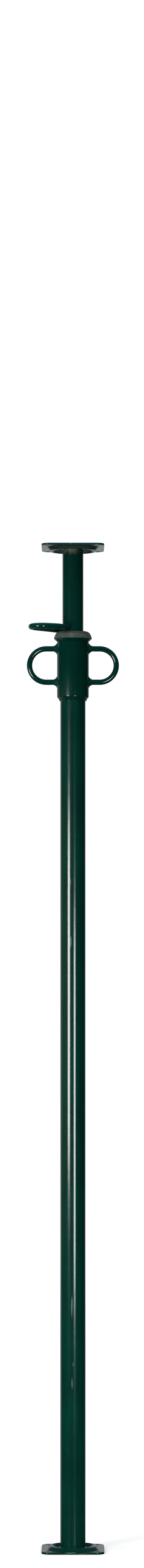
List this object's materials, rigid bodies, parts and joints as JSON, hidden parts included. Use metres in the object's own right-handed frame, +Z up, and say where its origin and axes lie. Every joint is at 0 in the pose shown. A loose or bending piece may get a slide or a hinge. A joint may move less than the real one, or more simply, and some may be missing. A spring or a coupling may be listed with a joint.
{
  "type": "adjustable steel prop",
  "caption": "Telescopic steel prop: outer tube with a screw nut and D handles, bearing ring, inner tube with a row of pin holes, looped locking pin and pressed square end plates.",
  "frame": {"origin": "centre of the base plate's underside, on the floor", "axes": "+Z up along the tubes, -Y towards the front, +X to the right; the locking pin's loop is on the left"},
  "size_m": [0.177, 0.1255, 1.924],
  "materials": {
    "plate_paint": "dark green dipped paint, semi-gloss",
    "tube_paint": "dark green dipped paint, gloss",
    "nut_paint": "dark green dipped paint, semi-gloss",
    "handle_paint": "dark green dipped paint, semi-gloss",
    "weld_paint": "painted weld bead",
    "grey_casting": "bare casting, dull",
    "thread_steel": "greased steel",
    "pin_paint": "dark green dipped paint, gloss"
  },
  "bodies": {
    "outer": {"base_plate": "plate_paint", "base_weld": "weld_paint", "outer_tube": "tube_paint"},
    "ring": {"bearing_ring": "grey_casting"},
    "nut": {"nut_sleeve": "nut_paint", "thread_ring": "thread_steel", "left_handle": "handle_paint", "right_handle": "handle_paint", "left_upper_weld": "weld_paint", "left_lower_weld": "weld_paint", "right_upper_weld": "weld_paint", "right_lower_weld": "weld_paint"},
    "inner": {"inner_tube": "tube_paint", "foot_collar": "thread_steel", "head_plate": "plate_paint", "head_weld": "weld_paint"},
    "pin": {"locking_pin": "pin_paint"}
  },
  "joints": [
    {"name": "nut_lift", "type": "slide", "parent": "outer", "child": "ring", "axis": [0, 0, 1], "range_m": [0, 0.0901]},
    {"name": "nut_turn", "type": "hinge", "parent": "ring", "child": "nut", "pos_m": [0, 0, 1.69], "axis": [0, 0, 1], "range_deg": [0, 4050]},
    {"name": "inner_slide", "type": "slide", "parent": "ring", "child": "inner", "axis": [0, 0, 1], "range_m": [0, 0.979]},
    {"name": "pin_pull", "type": "slide", "parent": "inner", "child": "pin", "axis": [-0.4695, -0.8829, 0], "range_m": [0, 0.06]}
  ],
  "couplings": [
    {"joint": "nut_lift", "follows": "nut_turn", "m_per_rad": 0.0012732}
  ]
}
